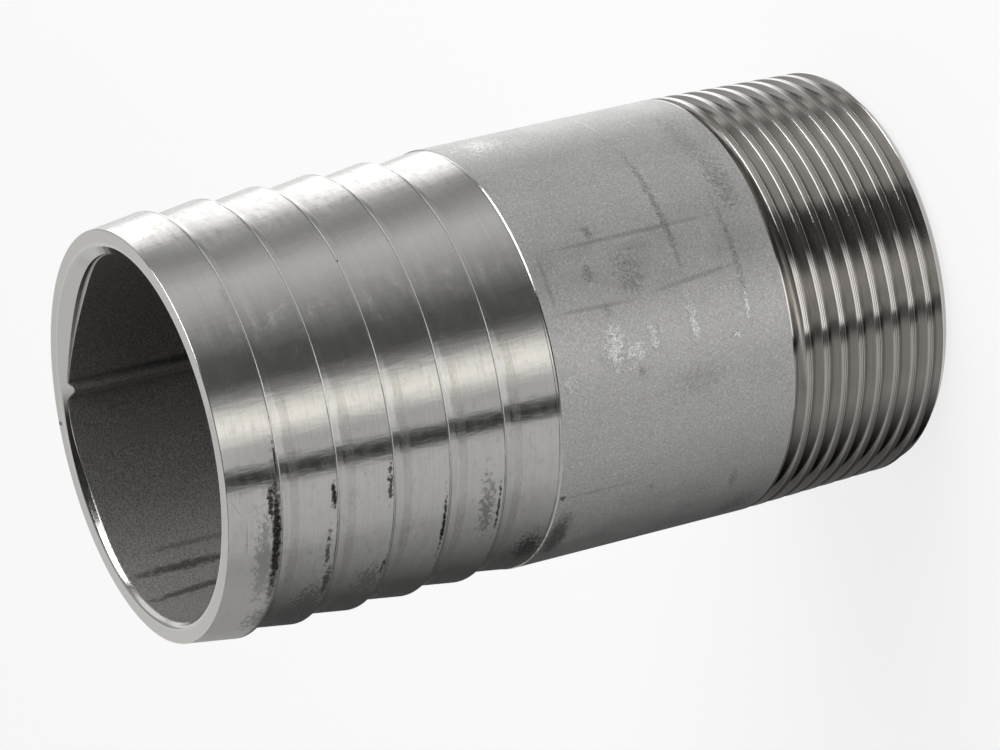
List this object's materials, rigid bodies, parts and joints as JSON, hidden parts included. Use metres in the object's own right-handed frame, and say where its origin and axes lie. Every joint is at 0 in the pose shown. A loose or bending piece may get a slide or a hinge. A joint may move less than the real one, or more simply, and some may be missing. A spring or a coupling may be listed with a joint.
{
  "type": "hose barb tail",
  "caption": "Straight metal hose tail: a barbed spigot for a hose at one end, a plain stretch of pipe, and a taper pipe thread at the other.",
  "frame": {"origin": "centre of the thread-end face, on the axis of the turned outside", "axes": "+Z along the pipe from the thread end to the barbed mouth; -Y is the side towards the camera in the picture"},
  "size_m": [0.0483, 0.0482, 0.0905],
  "materials": {
    "steel": "turned bright at the barbs and thread, dull pickled pipe between"
  },
  "bodies": {
    "root": {"hose_tail": "steel"}
  },
  "joints": []
}
